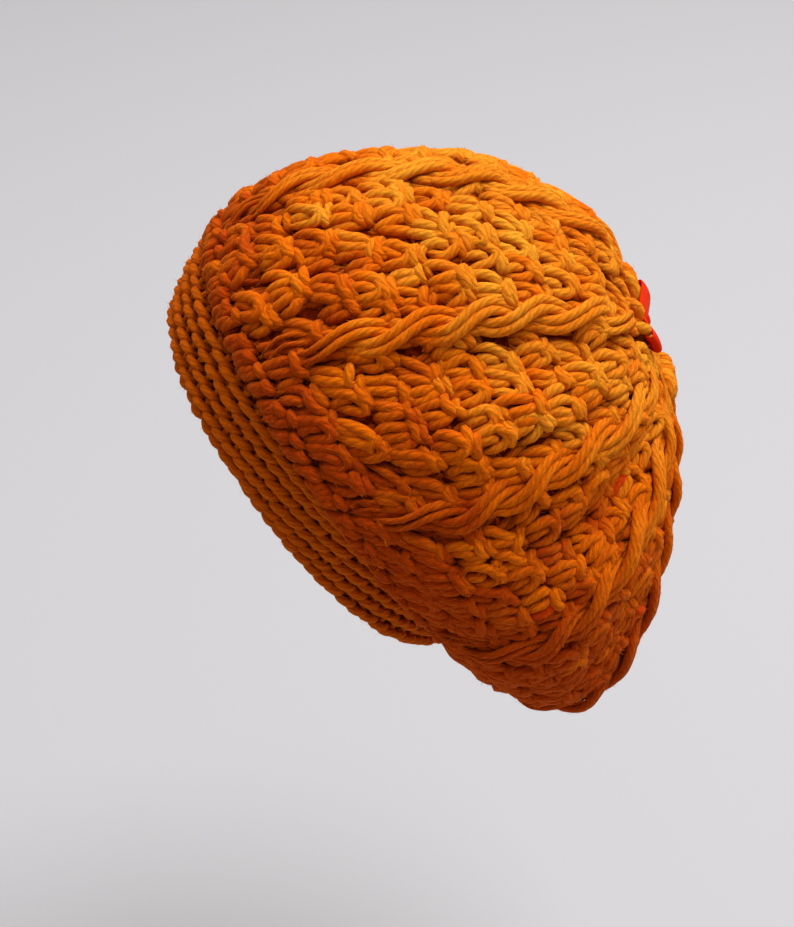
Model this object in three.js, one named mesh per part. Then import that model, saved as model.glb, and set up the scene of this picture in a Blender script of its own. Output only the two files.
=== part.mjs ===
// A crocheted slouchy hat in its worn form: a ridged brim band, a hollow body that slouches behind
// the brim and gathers at the crown, ten twisted cables over the body and a small ribbon bow.
// Millimetres, +Z up, the front edge faces -Y and the hat's left side is +X.
// The origin is where the inside of the fabric rests when the hat is worn.
import * as THREE from 'three';

// Overall size of the fabric's outer face
const hatDepth = 240;      // front edge to the back of the slouch
const hatHeight = 275;     // top of the body to the bottom of the slouch
const halfWidth = 113;     // middle plane to the widest point

// Fabric
const wall = 5.2;          // thickness of the crocheted wall
const clearance = 0.3;     // gap between neighbouring pieces
const foldDepth = 11;      // the deepest hollow between two cables

// Brim band
const ridgeCount = 6;      // rope-like rounds side by side
const ridgeHeight = 1.6;   // crest above the valley

// Cables
const cableCount = 10;
const cableWidth = 22;     // across both strands
const cableHeight = 6;
const cableCrossing = 27;  // length from one crossing of the strands to the next
const cableStart = 0.09;   // share of the body's rounds below the first crossing
const cableEnd = 0.9;      // share of the body's rounds where the strands run out at the crown
const cableTaper = 0.2;    // share of a cable's length over which an end would grow from nothing
const firstCable = 0.008;  // share of a turn from the top line to the first cable
const slump = 0.09;        // share of a turn that the rounds slip down towards the crown

// Ribbon bow at the crown
const ribbonWidth = 9.5;
const ribbonThickness = 1.2;
const loopReach = 25;      // length of one loop from the middle of the knot
const loopHeight = 6.5;    // height of one loop off the fabric
const knotLength = 6;      // along the bow
const bowLean = 2;         // degrees that the bow turns on the crown
const bowSeat = 1.6;       // height of the bow over the middle of the gathers
const bowRise = 7;         // how far above the middle of the gathers the knot is sewn

// Mesh density
const columns = 80;        // points in a round, a multiple of the cables
const bodyRounds = 15;
const liningRounds = 10;
const ridgeSteps = 3;      // steps across a brim ridge
const cableSteps = 25;
const strandSides = 7;

// Sections from the rim to the crown. Each has an upper and a lower point in the middle plane and
// a half width; back is a share of hatDepth, up of hatHeight and side of halfWidth. sag is how much
// wider than its middle the lower half hangs.
const sections = namedRows(['topBack', 'topUp', 'lowBack', 'lowUp', 'side', 'sag'], [
  [-0.28, -0.29, 0.20, -0.83, 0.77, 0.00], // rim
  [-0.33, -0.24, 0.27, -0.79, 0.77, 0.00],
  [-0.29, -0.15, 0.32, -0.76, 0.82, 0.01], // fold between the brim and the slouch
  [-0.22, -0.06, 0.34, -0.87, 0.96, 0.04],
  [-0.07, 0.02, 0.41, -0.94, 1.00, 0.08],
  [0.08, 0.04, 0.50, -0.95, 0.98, 0.08],   // widest, bottom of the slouch
  [0.24, 0.03, 0.57, -0.88, 0.88, 0.08],
  [0.37, -0.02, 0.62, -0.75, 0.71, 0.06],
  [0.46, -0.07, 0.64, -0.62, 0.53, 0.03],
  [0.51, -0.13, 0.65, -0.50, 0.35, 0.00],
  [0.54, -0.19, 0.63, -0.38, 0.17, 0.00],
  [0.56, -0.24, 0.59, -0.29, 0.03, 0.00],  // gathered crown
]);
const brimSections = 2.35; // sections that the brim band covers

// Hollows and swellings of the body. round is a share from the brim to the crown, column a share of
// a turn; along and across are their reaches as shares; depth is a share of foldDepth.
const folds = namedRows(['round', 'column', 'along', 'across', 'depth'], [
  [0.62, 0.262, 0.20, 0.024, -1.00], // deep hollow between the third and fourth cables
  [0.52, 0.135, 0.20, 0.018, -0.35], // dip under the second cable
  [0.45, 0.172, 0.16, 0.020, 0.30],  // swelling above the third cable
  [0.42, 0.362, 0.16, 0.024, -0.45], // fold behind the brim, left
  [0.40, 0.650, 0.16, 0.024, -0.45], // fold behind the brim, right
  [0.60, 0.755, 0.20, 0.024, -0.70], // hollow on the right side
  [0.55, 0.875, 0.20, 0.018, -0.30], // dip on the right side
  [0.30, 0.058, 0.18, 0.018, -0.20], // dips beside the top cable
  [0.30, 0.955, 0.18, 0.018, -0.20],
]);

// Each row as an object that holds its values by column name.
function namedRows(names, rows) {
  return rows.map((row) => Object.fromEntries(names.map((name, i) => [name, row[i]])));
}

// Catmull-Rom value of one column of the sections at a place between them.
function blend(column, place) {
  const last = sections.length - 1;
  const at = Math.min(Math.floor(place), last - 1);
  const t = place - at;
  const value = (i) => sections[Math.min(Math.max(i, 0), last)][column];
  const b = value(at);
  const c = value(at + 1);
  const a = at === 0 ? 2 * b - c : value(at - 1);
  const d = at === last - 1 ? 2 * c - b : value(at + 2);
  const slope = (c - a) * t;
  const bend = (2 * a - 5 * b + 4 * c - d) * t * t;
  return 0.5 * (2 * b + slope + bend + (3 * b - a - 3 * c + d) * t * t * t);
}

// A point of the smooth outer face: place counts sections, angle goes round from the top line.
function ovalPoint(place, angle) {
  const topShare = (1 + Math.cos(angle)) / 2;
  const back = THREE.MathUtils.lerp(blend('lowBack', place), blend('topBack', place), topShare);
  const up = THREE.MathUtils.lerp(blend('lowUp', place), blend('topUp', place), topShare);
  const side = blend('side', place) * Math.sin(angle) * (1 - blend('sag', place) * Math.cos(angle));
  return new THREE.Vector3(side * halfWidth, back * hatDepth, up * hatHeight);
}

// Points at equal lengths along a polyline, with both ends kept.
function evenly(points, count) {
  const length = [0];
  for (let i = 1; i < points.length; i++) {
    length.push(length[i - 1] + points[i].distanceTo(points[i - 1]));
  }
  const total = length[length.length - 1];
  const out = [];
  let i = 1;
  for (let k = 0; k <= count; k++) {
    const want = (total * k) / count;
    while (i < points.length - 1 && length[i] < want) i++;
    const t = (want - length[i - 1]) / (length[i] - length[i - 1]);
    out.push(points[i - 1].clone().lerp(points[i], t));
  }
  return out;
}

// A net of points over part of the hat: rounds at equal lengths from one section to another, and
// in each round points at equal lengths from the top line.
function fabricNet(fromSection, toSection, rounds, perRound) {
  const angles = 180;
  const fine = Math.ceil(8 * (toSection - fromSection));
  const meridians = [];
  for (let j = 0; j <= angles; j++) {
    const angle = (2 * Math.PI * j) / angles;
    const line = [];
    for (let i = 0; i <= fine; i++) {
      line.push(ovalPoint(fromSection + ((toSection - fromSection) * i) / fine, angle));
    }
    meridians.push(evenly(line, rounds));
  }
  const net = [];
  for (let i = 0; i <= rounds; i++) {
    net.push(evenly(meridians.map((line) => line[i]), perRound).slice(0, perRound));
  }
  return net;
}

const netRounds = 48;
const brimNetRounds = 12;
const netColumns = 240;
const brimNet = fabricNet(0, brimSections, brimNetRounds, netColumns);
const bodyNet = fabricNet(brimSections, sections.length - 1, netRounds, netColumns);

// A point of a net at shares of its rounds and of a turn.
function onNet(net, round, turn) {
  const last = net.length - 1;
  const perRound = net[0].length;
  const r = THREE.MathUtils.clamp(round, 0, 1) * last;
  const i = Math.min(Math.floor(r), last - 1);
  const c = (turn - Math.floor(turn)) * perRound;
  const j = Math.floor(c) % perRound;
  const k = (j + 1) % perRound;
  const low = net[i][j].clone().lerp(net[i][k], c - Math.floor(c));
  const high = net[i + 1][j].clone().lerp(net[i + 1][k], c - Math.floor(c));
  return low.lerp(high, r - i);
}

// The frame of a net at a point: along the meridian, round the hat, and out of the fabric.
function netFrame(net, round, turn) {
  const step = 0.02;
  const low = Math.max(round - step, 0);
  const high = Math.min(round + step, 1);
  const along = onNet(net, high, turn).sub(onNet(net, low, turn)).normalize();
  const across = onNet(net, round, turn + 0.006).sub(onNet(net, round, turn - 0.006)).normalize();
  const out = new THREE.Vector3().crossVectors(across, along).normalize();
  return { along, across, out };
}

// How far the folds move the fabric out at a place of the body.
function foldLift(round, column) {
  let lift = 0;
  for (const fold of folds) {
    const away = column - fold.column - Math.round(column - fold.column);
    const reach = ((round - fold.round) / fold.along) ** 2 + (away / fold.across) ** 2;
    lift += foldDepth * fold.depth * Math.exp(-reach);
  }
  const easeIn = THREE.MathUtils.smoothstep(round, 0, 0.12);
  const easeOut = THREE.MathUtils.smoothstep(1 - round, 0, 0.15);
  return lift * easeIn * easeOut;
}

// Where a column of stitches lies at a round: its turn, slipped down towards the underside.
function slipped(round, column) {
  return column + slump * Math.sin(2 * Math.PI * column) * round * round;
}

// A point of the body in a column of stitches, lifted off its outer face.
function bodyPoint(round, column, lift) {
  const turn = slipped(round, column);
  const { out } = netFrame(bodyNet, round, turn);
  return onNet(bodyNet, round, turn).addScaledVector(out, foldLift(round, column) + lift);
}

// A point of the brim band, lifted off its outer face.
function brimPoint(round, turn, lift) {
  const { out } = netFrame(brimNet, round, turn);
  return onNet(brimNet, round, turn).addScaledVector(out, lift);
}

// Triangles between rings of points, and fans that close the first and the last ring where asked.
function closedSurface(rings, closeEnds) {
  const sides = rings[0].length;
  const points = rings.flat();
  const faces = [];
  for (let i = 0; i + 1 < rings.length; i++) {
    for (let j = 0; j < sides; j++) {
      const k = (j + 1) % sides;
      const a = i * sides + j;
      const b = i * sides + k;
      faces.push(a, b, a + sides, b, b + sides, a + sides);
    }
  }
  if (closeEnds) {
    const first = points.length;
    points.push(middleOf(rings[0]), middleOf(rings[rings.length - 1]));
    const start = (rings.length - 1) * sides;
    for (let j = 0; j < sides; j++) {
      const k = (j + 1) % sides;
      faces.push(first, k, j, first + 1, start + j, start + k);
    }
  } else {
    const start = (rings.length - 1) * sides;
    for (let j = 0; j < sides; j++) {
      const k = (j + 1) % sides;
      faces.push(start + j, start + k, j, start + k, k, j);
    }
  }
  const geometry = new THREE.BufferGeometry();
  geometry.setAttribute('position', new THREE.Float32BufferAttribute(points.flatMap((p) => p.toArray()), 3));
  geometry.setIndex(faces);
  geometry.computeVertexNormals();
  return geometry;
}

function middleOf(ring) {
  return ring.reduce((sum, p) => sum.add(p), new THREE.Vector3()).divideScalar(ring.length);
}

// One ring of points round the hat.
function ringOf(pointAt) {
  return Array.from({ length: columns }, (_, j) => pointAt(firstCable + j / columns));
}

// The brim band: ridges outside, flat inside.
function brimBand() {
  const rings = [];
  const steps = ridgeCount * ridgeSteps;
  for (let i = 0; i <= steps; i++) {
    const round = i / steps;
    const crest = ridgeHeight * Math.abs(Math.sin(Math.PI * ridgeCount * round));
    rings.push(ringOf((turn) => brimPoint(round, turn, crest)));
  }
  for (let i = 3; i >= 0; i--) {
    rings.push(ringOf((turn) => brimPoint(i / 3, turn, -wall)));
  }
  return closedSurface(rings, false);
}

// Share of the body's rounds that lies a clearance above the brim band, at one turn.
function bodyEdge(turn) {
  const step = 0.01;
  const length = onNet(bodyNet, step, turn).distanceTo(onNet(bodyNet, 0, turn));
  return (clearance / length) * step;
}

// The body: an outer skin up to the crown and a lining back down to the brim band.
function slouchBody() {
  const rings = [];
  for (let i = bodyRounds; i >= 0; i--) {
    const round = i / (bodyRounds + 0.25);
    rings.push(ringOf((turn) => bodyPoint(Math.max(round, bodyEdge(turn)), turn, 0)));
  }
  for (let i = 0; i <= liningRounds; i++) {
    const round = (i / liningRounds) * 0.94;
    rings.push(ringOf((turn) => bodyPoint(Math.max(round, bodyEdge(turn)), turn, -wall)));
  }
  rings.forEach((ring) => ring.reverse());
  return closedSurface(rings, true);
}

// One cable: two strands that cross on the outer face, drawn as one twisted rope.
function cable(index) {
  const column = firstCable + index / cableCount;
  const rings = [];
  let travelled = 0;
  let before = null;
  for (let i = 0; i <= cableSteps; i++) {
    const share = i / cableSteps;
    const round = THREE.MathUtils.lerp(cableStart, cableEnd, share);
    const pitch = bodyPoint(round, column - 0.5 / cableCount, 0)
      .distanceTo(bodyPoint(round, column + 0.5 / cableCount, 0));
    const ends = Math.min(1, 0.45 + share / cableTaper, 0.35 + (1 - share) / cableTaper);
    const wide = Math.min(cableWidth, 0.7 * pitch) * ends;
    const high = cableHeight * ends;
    const { across, out } = netFrame(bodyNet, round, slipped(round, column));
    const middle = bodyPoint(round, column, high / 2 + clearance);
    travelled += before ? middle.distanceTo(before) : 0;
    before = middle;
    const twist = (Math.PI * travelled) / cableCrossing;
    const ring = [];
    for (let j = 0; j < strandSides; j++) {
      const angle = (-2 * Math.PI * j) / strandSides;
      const lobe = 0.62 + 0.38 * Math.abs(Math.cos(angle - twist));
      ring.push(middle.clone()
        .addScaledVector(across, (lobe * Math.cos(angle) * wide) / 2)
        .addScaledVector(out, (lobe * Math.sin(angle) * high) / 2));
    }
    rings.push(ring);
  }
  return closedSurface(rings, true);
}

// The side of one bow loop: a flattened teardrop of ribbon, which extrudes over the ribbon's width.
function loopGeometry() {
  const flat = ribbonThickness;
  const start = knotLength / 2 + clearance;
  const shape = new THREE.Shape();
  shape.moveTo(start, 0);
  shape.lineTo(loopReach * 0.6, 0);
  shape.bezierCurveTo(loopReach * 1.1, 0, loopReach * 1.1, loopHeight, loopReach * 0.6, loopHeight);
  shape.quadraticCurveTo(loopReach * 0.3, loopHeight, start, 2.2 * flat);
  shape.closePath();
  const inside = new THREE.Path();
  inside.moveTo(start + 2 * flat, flat);
  inside.lineTo(loopReach * 0.6, flat);
  inside.bezierCurveTo(loopReach, flat, loopReach, loopHeight - flat, loopReach * 0.6, loopHeight - flat);
  inside.quadraticCurveTo(loopReach * 0.4, loopHeight - flat, start + 2 * flat, 1.1 * flat);
  inside.closePath();
  shape.holes.push(inside);
  const geometry = new THREE.ExtrudeGeometry(shape, {
    depth: ribbonWidth,
    bevelEnabled: false,
    curveSegments: 6,
  });
  geometry.translate(0, 0, -ribbonWidth / 2);
  return geometry;
}

// The knot: the short length of ribbon wrapped round the middle of the bow.
function knotGeometry() {
  const high = 3.4 * ribbonThickness;
  const wide = 0.72 * ribbonWidth;
  const corner = 0.3 * high;
  const shape = new THREE.Shape();
  shape.moveTo(-wide / 2 + corner, 0);
  shape.lineTo(wide / 2 - corner, 0);
  shape.quadraticCurveTo(wide / 2, 0, wide / 2, corner);
  shape.lineTo(wide / 2, high - corner);
  shape.quadraticCurveTo(wide / 2, high, wide / 2 - corner, high);
  shape.lineTo(-wide / 2 + corner, high);
  shape.quadraticCurveTo(-wide / 2, high, -wide / 2, high - corner);
  shape.lineTo(-wide / 2, corner);
  shape.quadraticCurveTo(-wide / 2, 0, -wide / 2 + corner, 0);
  const geometry = new THREE.ExtrudeGeometry(shape, {
    depth: knotLength,
    bevelEnabled: false,
    curveSegments: 4,
  });
  geometry.translate(0, 0, -knotLength / 2);
  geometry.rotateY(Math.PI / 2);
  return geometry;
}

// The bow's group: X runs along the bow and Y out of the fabric, seated on the gathered crown.
function bow() {
  const group = new THREE.Group();
  const top = ovalPoint(sections.length - 1, 0);
  const low = ovalPoint(sections.length - 1, Math.PI);
  const down = low.clone().sub(top).normalize();
  const left = new THREE.Vector3(1, 0, 0);
  const out = new THREE.Vector3().crossVectors(left, down);
  group.matrixAutoUpdate = false;
  group.matrix.makeBasis(left, out, new THREE.Vector3().crossVectors(left, out));
  group.matrix.multiply(new THREE.Matrix4().makeRotationY(THREE.MathUtils.degToRad(bowLean)));
  const seat = top.clone().lerp(low, 0.5).addScaledVector(down, -bowRise).addScaledVector(out, bowSeat);
  group.matrix.setPosition(seat);
  const leftLoop = named('bow_loop_left', loopGeometry(), satin);
  const rightLoop = named('bow_loop_right', loopGeometry(), satin);
  rightLoop.rotation.y = Math.PI;
  group.add(leftLoop, rightLoop, named('bow_knot', knotGeometry(), satin));
  return group;
}

const wool = () => new THREE.MeshStandardMaterial({ color: 0xd97706, roughness: 0.95, metalness: 0 });
const satin = () => new THREE.MeshStandardMaterial({ color: 0xd83a10, roughness: 0.4, metalness: 0 });

// A mesh with its node's name.
function named(name, geometry, material) {
  const mesh = new THREE.Mesh(geometry, material());
  mesh.name = name;
  return mesh;
}

const hat = new THREE.Group();
hat.add(named('brim_band', brimBand(), wool));
hat.add(named('slouch_body', slouchBody(), wool));
for (let i = 0; i < cableCount; i++) {
  hat.add(named(`cable_${i + 1}`, cable(i), wool));
}
hat.add(bow());

export default hat;
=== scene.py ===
import bpy, math
import numpy as np
from mathutils import Matrix, Vector
from mathutils.bvhtree import BVHTree


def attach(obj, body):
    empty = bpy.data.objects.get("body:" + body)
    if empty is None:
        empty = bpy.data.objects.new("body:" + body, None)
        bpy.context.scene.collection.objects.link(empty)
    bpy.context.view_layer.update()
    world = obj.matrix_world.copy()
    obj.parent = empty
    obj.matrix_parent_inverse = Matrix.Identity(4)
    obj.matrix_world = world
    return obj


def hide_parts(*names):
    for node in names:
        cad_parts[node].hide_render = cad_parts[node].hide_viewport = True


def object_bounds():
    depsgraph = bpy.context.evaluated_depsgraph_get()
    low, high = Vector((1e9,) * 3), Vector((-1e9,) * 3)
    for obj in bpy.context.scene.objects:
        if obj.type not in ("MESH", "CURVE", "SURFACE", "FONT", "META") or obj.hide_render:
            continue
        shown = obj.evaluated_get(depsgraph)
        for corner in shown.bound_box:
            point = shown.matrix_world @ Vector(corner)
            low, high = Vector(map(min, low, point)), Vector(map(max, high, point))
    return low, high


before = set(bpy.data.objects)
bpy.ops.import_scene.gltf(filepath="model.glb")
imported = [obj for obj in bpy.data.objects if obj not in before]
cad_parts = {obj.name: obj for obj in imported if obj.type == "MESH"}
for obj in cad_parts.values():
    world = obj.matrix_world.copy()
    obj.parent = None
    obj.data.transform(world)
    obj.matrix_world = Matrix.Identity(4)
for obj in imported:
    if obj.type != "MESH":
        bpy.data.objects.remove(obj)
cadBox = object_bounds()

# a crochet slouchy hat: every stitch is a run of plied yarn laid on the hat's outer face
# metres, +Z up, the front edge faces -Y, origin where the inside rests when the hat is worn
mm = 0.001
random = np.random.default_rng(7)


# colours and nodes

def srgb(hexText):  # sRGB hex to the linear values that a shader takes
    channels = [int(hexText[i:i + 2], 16) / 255 for i in (1, 3, 5)]
    return tuple(c / 12.92 if c <= 0.04045 else ((c + 0.055) / 1.055) ** 2.4 for c in channels) + (1.0,)


def addNode(tree, kind, links=None, **settings):  # one node with its settings, then its incoming links
    node = tree.nodes.new(kind)
    for key, value in settings.items():
        if key[:2] == "in" and key[2:].isdigit():
            node.inputs[int(key[2:])].default_value = value
        else:
            setattr(node, key, value)
    for socket, source in (links or {}).items():
        tree.links.new(source, node.inputs[socket])
    return node


def newMaterial(name):
    material = bpy.data.materials.new(name)
    material.use_nodes = True
    return material, material.node_tree, material.node_tree.nodes["Principled BSDF"]


# the hat's outer face, from the same sizes as the solids

hatSizes = {
    "hatDepth": 240 * mm,      # front edge to the back of the slouch
    "hatHeight": 275 * mm,
    "halfWidth": 113 * mm,
    "wall": 5.2 * mm,          # thickness of the crocheted wall
    "foldDepth": 11 * mm,
    "slump": 0.09,             # share of a turn that the rounds slip down towards the crown
    "cables": 10,
    "firstCable": 0.008,       # share of a turn from the top line
    "brimSections": 2.35,
}

# upper and lower point (back, up), half width and sag of each section, as shares of the sizes
sections = np.array([
    [-0.28, -0.29, 0.20, -0.83, 0.77, 0.00],  # rim
    [-0.33, -0.24, 0.27, -0.79, 0.77, 0.00],
    [-0.29, -0.15, 0.32, -0.76, 0.82, 0.01],  # fold between the brim and the slouch
    [-0.22, -0.06, 0.34, -0.87, 0.96, 0.04],
    [-0.07, 0.02, 0.41, -0.94, 1.00, 0.08],
    [0.08, 0.04, 0.50, -0.95, 0.98, 0.08],    # widest, bottom of the slouch
    [0.24, 0.03, 0.57, -0.88, 0.88, 0.08],
    [0.37, -0.02, 0.62, -0.75, 0.71, 0.06],
    [0.46, -0.07, 0.64, -0.62, 0.53, 0.03],
    [0.51, -0.13, 0.65, -0.50, 0.35, 0.00],
    [0.54, -0.19, 0.63, -0.38, 0.17, 0.00],
    [0.56, -0.24, 0.59, -0.29, 0.03, 0.00],   # gathered crown
])

# hollows and swellings: round, column, reach along, reach across, share of the fold depth
folds = np.array([
    [0.62, 0.262, 0.20, 0.024, -1.00],
    [0.52, 0.135, 0.20, 0.018, -0.35],
    [0.45, 0.172, 0.16, 0.020, 0.30],
    [0.42, 0.362, 0.16, 0.024, -0.45],
    [0.40, 0.650, 0.16, 0.024, -0.45],
    [0.60, 0.755, 0.20, 0.024, -0.70],
    [0.55, 0.875, 0.20, 0.018, -0.30],
    [0.30, 0.058, 0.18, 0.018, -0.20],
    [0.30, 0.955, 0.18, 0.018, -0.20],
])


def curveThrough(a, b, c, d, t):  # Catmull-Rom from b to c
    bend = (2 * a - 5 * b + 4 * c - d) * t ** 2
    turnBack = (3 * b - a - 3 * c + d) * t ** 3
    return 0.5 * (2 * b + (c - a) * t + bend + turnBack)


def sectionAt(place):  # between the rows of the table
    last = len(sections) - 1
    at = np.clip(np.floor(place).astype(int), 0, last - 1)
    t = (place - at)[..., None]
    b, c = sections[at], sections[at + 1]
    a = np.where((at == 0)[..., None], 2 * b - c, sections[np.clip(at - 1, 0, last)])
    d = np.where((at == last - 1)[..., None], 2 * c - b, sections[np.clip(at + 2, 0, last)])
    return curveThrough(a, b, c, d, t)


def ovalPoint(place, angle):
    topBack, topUp, lowBack, lowUp, side, sag = np.moveaxis(sectionAt(place), -1, 0)
    topShare = (1 + np.cos(angle)) / 2
    back = lowBack + (topBack - lowBack) * topShare
    up = lowUp + (topUp - lowUp) * topShare
    out = side * np.sin(angle) * (1 - sag * np.cos(angle))
    scaled = (out * hatSizes["halfWidth"], back * hatSizes["hatDepth"], up * hatSizes["hatHeight"])
    return np.stack(scaled, -1)


def evenly(points, count):  # points at equal lengths along each polyline
    step = np.linalg.norm(np.diff(points, axis=-2), axis=-1)
    length = np.concatenate([np.zeros(step.shape[:-1] + (1,)), np.cumsum(step, -1)], -1)
    out = np.empty(points.shape[:-2] + (count + 1, 3))
    for i in np.ndindex(points.shape[:-2]):
        want = np.linspace(0, length[i][-1], count + 1)
        for axis in range(3):
            out[i][:, axis] = np.interp(want, length[i], points[i][:, axis])
    return out


def fabricNet(fromSection, toSection, rounds, perRound):  # points at equal lengths both ways
    angle = np.linspace(0, 2 * np.pi, 181)
    place = np.linspace(fromSection, toSection, math.ceil(8 * (toSection - fromSection)) + 1)
    meridians = evenly(ovalPoint(place[None, :], angle[:, None]), rounds)
    return evenly(np.swapaxes(meridians, 0, 1), perRound)[:, :-1]


brimNet = fabricNet(0, hatSizes["brimSections"], 12, 240)
bodyNet = fabricNet(hatSizes["brimSections"], len(sections) - 1, 48, 240)


def onNet(net, around, turn):
    last, perRound = len(net) - 1, net.shape[1]
    r = np.clip(around, 0, 1) * last
    i = np.minimum(np.floor(r).astype(int), last - 1)
    c = (turn - np.floor(turn)) * perRound
    j = np.floor(c).astype(int) % perRound
    k = (j + 1) % perRound
    f, g = (c - np.floor(c))[..., None], (r - i)[..., None]
    here = net[i, j] * (1 - f) + net[i, k] * f
    onward = net[i + 1, j] * (1 - f) + net[i + 1, k] * f
    return here * (1 - g) + onward * g


def unit(v):
    return v / np.maximum(np.linalg.norm(v, axis=-1, keepdims=True), 1e-12)


def netFrame(net, around, turn):  # directions along the meridian, round the hat and out of the fabric
    above, below = np.minimum(around + 0.02, 1), np.maximum(around - 0.02, 0)
    along = unit(onNet(net, above, turn) - onNet(net, below, turn))
    across = unit(onNet(net, around, turn + 0.006) - onNet(net, around, turn - 0.006))
    return along, across, unit(np.cross(across, along))


def ease(x):
    x = np.clip(x, 0, 1)
    return x * x * (3 - 2 * x)


def foldLift(around, column):
    lift = 0
    for foldRound, foldColumn, reachAlong, reachAcross, depth in folds:
        away = column - foldColumn
        away = away - np.round(away)
        lift = lift + hatSizes["foldDepth"] * depth * np.exp(
            -((around - foldRound) / reachAlong) ** 2 - (away / reachAcross) ** 2)
    return lift * ease(around / 0.12) * ease((1 - around) / 0.15)


def onBody(around, column, lift):  # a point of the body in a column of stitches, lifted off the outer face
    turn = column + hatSizes["slump"] * np.sin(2 * np.pi * column) * around ** 2
    out = netFrame(bodyNet, around, turn)[2]
    return onNet(bodyNet, around, turn) + out * (foldLift(around, column) + lift)[..., None]


def onBrim(around, turn, lift):
    return onNet(brimNet, around, turn) + netFrame(brimNet, around, turn)[2] * lift[..., None]


def lengthOf(line):
    return np.linalg.norm(np.diff(line, axis=0), axis=1).sum()


def quadsBetween(i, j, k, sides):  # joins ring i to the next, from corner j to corner k
    corners = (i * sides + j, i * sides + k, (i + 1) * sides + k, (i + 1) * sides + j)
    return np.stack(corners, -1).reshape(-1, 4)


def outerFace(point, rounds, columns):  # a coarse mesh of the outer face, to measure heights from
    places = np.linspace(0, 0.995, rounds), np.linspace(0, 1, columns, endpoint=False)
    around, column = np.meshgrid(*places, indexing="ij")
    points = point(around, column, np.zeros_like(around)).reshape(-1, 3)
    i, j = np.meshgrid(np.arange(rounds - 1), np.arange(columns), indexing="ij")
    k = (j + 1) % columns
    return points, quadsBetween(i, j, k, columns)


bodyFace, bodyQuads = outerFace(onBody, 60, 180)
brimFace, brimQuads = outerFace(onBrim, 14, 180)
faceTree = BVHTree.FromPolygons(np.vstack([bodyFace, brimFace]).tolist(),
                                np.vstack([bodyQuads, brimQuads + len(bodyFace)]).tolist())


def heightAbove(points):  # how far each point stands above the outer face, negative below it
    heights = np.empty(len(points))
    for i, point in enumerate(points.tolist()):
        nearest, normal, _, _ = faceTree.find_nearest(point)
        heights[i] = (Vector(point) - nearest).dot(normal)
    return heights


faceSign = np.sign(heightAbove(onBody(np.array([0.5]), np.array([0.3]), np.array([2 * mm])))[0])
print("outer face ready")


# yarn: runs of points become tubes with a UV map in turns of the plies

yarn = {
    "sides": 8,
    "plies": 5,
    "plyPitch": 24 * mm,       # one turn of the plies
    "unevenness": 0.03,        # of its thickness
    "taperedEnd": 0.25,        # thickness of a strand's very end, as a share of the rest
    "fuzzPerMetre": 1900,      # places on each metre of yarn where a loose fibre can start
}
fuzzSeeds = {"body": [], "brim": []}  # where loose fibres leave the yarn


def smoothRun(points, steps):  # a smooth run through a few points, at equal lengths
    n = len(points) - 1
    padded = np.vstack([2 * points[0] - points[1], points, 2 * points[-1] - points[-2]])
    u = np.linspace(0, n, steps * 3 + 1)
    i = np.minimum(u.astype(int), n - 1)
    t = (u - i)[:, None]
    a, b, c, d = padded[i], padded[i + 1], padded[i + 2], padded[i + 3]
    return evenly(curveThrough(a, b, c, d, t), steps)


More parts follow.
